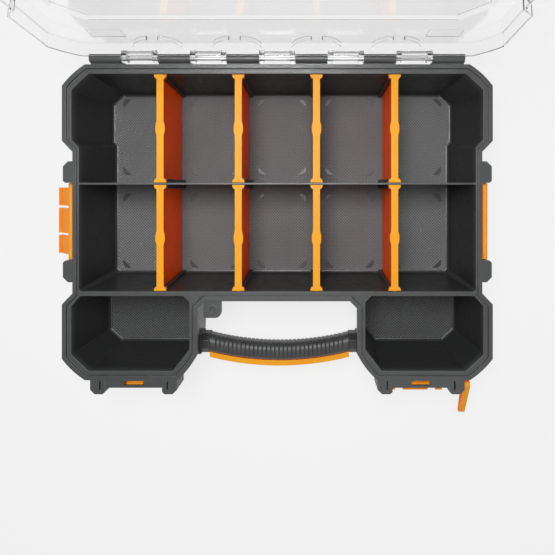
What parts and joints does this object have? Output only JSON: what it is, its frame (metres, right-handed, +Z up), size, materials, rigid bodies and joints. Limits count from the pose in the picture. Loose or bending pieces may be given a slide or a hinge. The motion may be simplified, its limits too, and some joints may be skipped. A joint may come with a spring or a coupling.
{
  "type": "parts organizer",
  "caption": "Flat carrying organizer: shaped tray with lift-out divider plates, hinged clear lid, snap latches on three sides and a bowed front handle.",
  "frame": {"origin": "centre of the tray's flat underside, on the surface it stands on", "axes": "+X to the right along the width, +Y to the hinge at the rear, +Z up"},
  "size_m": [0.45, 0.4209, 0.4024],
  "materials": {
    "charcoal": "moulded polypropylene, fine texture",
    "clear": "clear polycarbonate",
    "orange": "moulded polypropylene, satin",
    "grip": "soft overmould, matt",
    "steel": "drawn wire"
  },
  "bodies": {
    "base": {"base_tray": "charcoal", "hinge_rod": "steel", "front_latch_pin_left": "steel", "front_latch_pin_right": "steel", "side_latch_pin_left": "steel", "side_latch_pin_right": "steel", "handle_grip": "grip", "handle_core": "charcoal", "handle_insert": "orange", "handle_collar_left": "charcoal", "handle_collar_right": "charcoal"},
    "lid": {"lid": "clear"},
    "divider_rear_1": {"divider_rear_1": "orange"},
    "divider_rear_2": {"divider_rear_2": "orange"},
    "divider_rear_3": {"divider_rear_3": "orange"},
    "divider_rear_4": {"divider_rear_4": "orange"},
    "divider_front_1": {"divider_front_1": "orange"},
    "divider_front_2": {"divider_front_2": "orange"},
    "divider_front_3": {"divider_front_3": "orange"},
    "divider_front_4": {"divider_front_4": "orange"},
    "front_latch_left": {"front_latch_left": "orange"},
    "front_latch_right": {"front_latch_right": "orange"},
    "side_latch_left": {"side_latch_left": "orange"},
    "side_latch_right": {"side_latch_right": "orange"},
    "corner_clip": {"corner_clip": "orange"}
  },
  "joints": [
    {"name": "lid_hinge", "type": "hinge", "parent": "base", "child": "lid", "pos_m": [0, 0.1633, 0.078], "axis": [-1, 0, 0], "range_deg": [-97.5, 0]},
    {"name": "divider_rear_1_slide", "type": "slide", "parent": "base", "child": "divider_rear_1", "axis": [0, 0, 1], "range_m": [0, 0.078]},
    {"name": "divider_rear_2_slide", "type": "slide", "parent": "base", "child": "divider_rear_2", "axis": [0, 0, 1], "range_m": [0, 0.078]},
    {"name": "divider_rear_3_slide", "type": "slide", "parent": "base", "child": "divider_rear_3", "axis": [0, 0, 1], "range_m": [0, 0.078]},
    {"name": "divider_rear_4_slide", "type": "slide", "parent": "base", "child": "divider_rear_4", "axis": [0, 0, 1], "range_m": [0, 0.078]},
    {"name": "divider_front_1_slide", "type": "slide", "parent": "base", "child": "divider_front_1", "axis": [0, 0, 1], "range_m": [0, 0.078]},
    {"name": "divider_front_2_slide", "type": "slide", "parent": "base", "child": "divider_front_2", "axis": [0, 0, 1], "range_m": [0, 0.078]},
    {"name": "divider_front_3_slide", "type": "slide", "parent": "base", "child": "divider_front_3", "axis": [0, 0, 1], "range_m": [0, 0.078]},
    {"name": "divider_front_4_slide", "type": "slide", "parent": "base", "child": "divider_front_4", "axis": [0, 0, 1], "range_m": [0, 0.078]},
    {"name": "front_latch_left_pivot", "type": "hinge", "parent": "base", "child": "front_latch_left", "pos_m": [-0.1438, -0.166, 0.068], "axis": [1, 0, 0], "range_deg": [-158, 0]},
    {"name": "front_latch_right_pivot", "type": "hinge", "parent": "base", "child": "front_latch_right", "pos_m": [0.1438, -0.166, 0.068], "axis": [1, 0, 0], "range_deg": [-151, 0]},
    {"name": "side_latch_left_pivot", "type": "hinge", "parent": "base", "child": "side_latch_left", "pos_m": [-0.2108, 0.0005, 0.068], "axis": [0, -1, 0], "range_deg": [-146, 42]},
    {"name": "side_latch_right_pivot", "type": "hinge", "parent": "base", "child": "side_latch_right", "pos_m": [0.2108, 0.0005, 0.068], "axis": [0, 1, 0], "range_deg": [-188, 0]},
    {"name": "corner_clip_pivot", "type": "hinge", "parent": "base", "child": "corner_clip", "pos_m": [0.1918, -0.166, 0.068], "axis": [1, 0, 0], "range_deg": [-100, 60]}
  ]
}
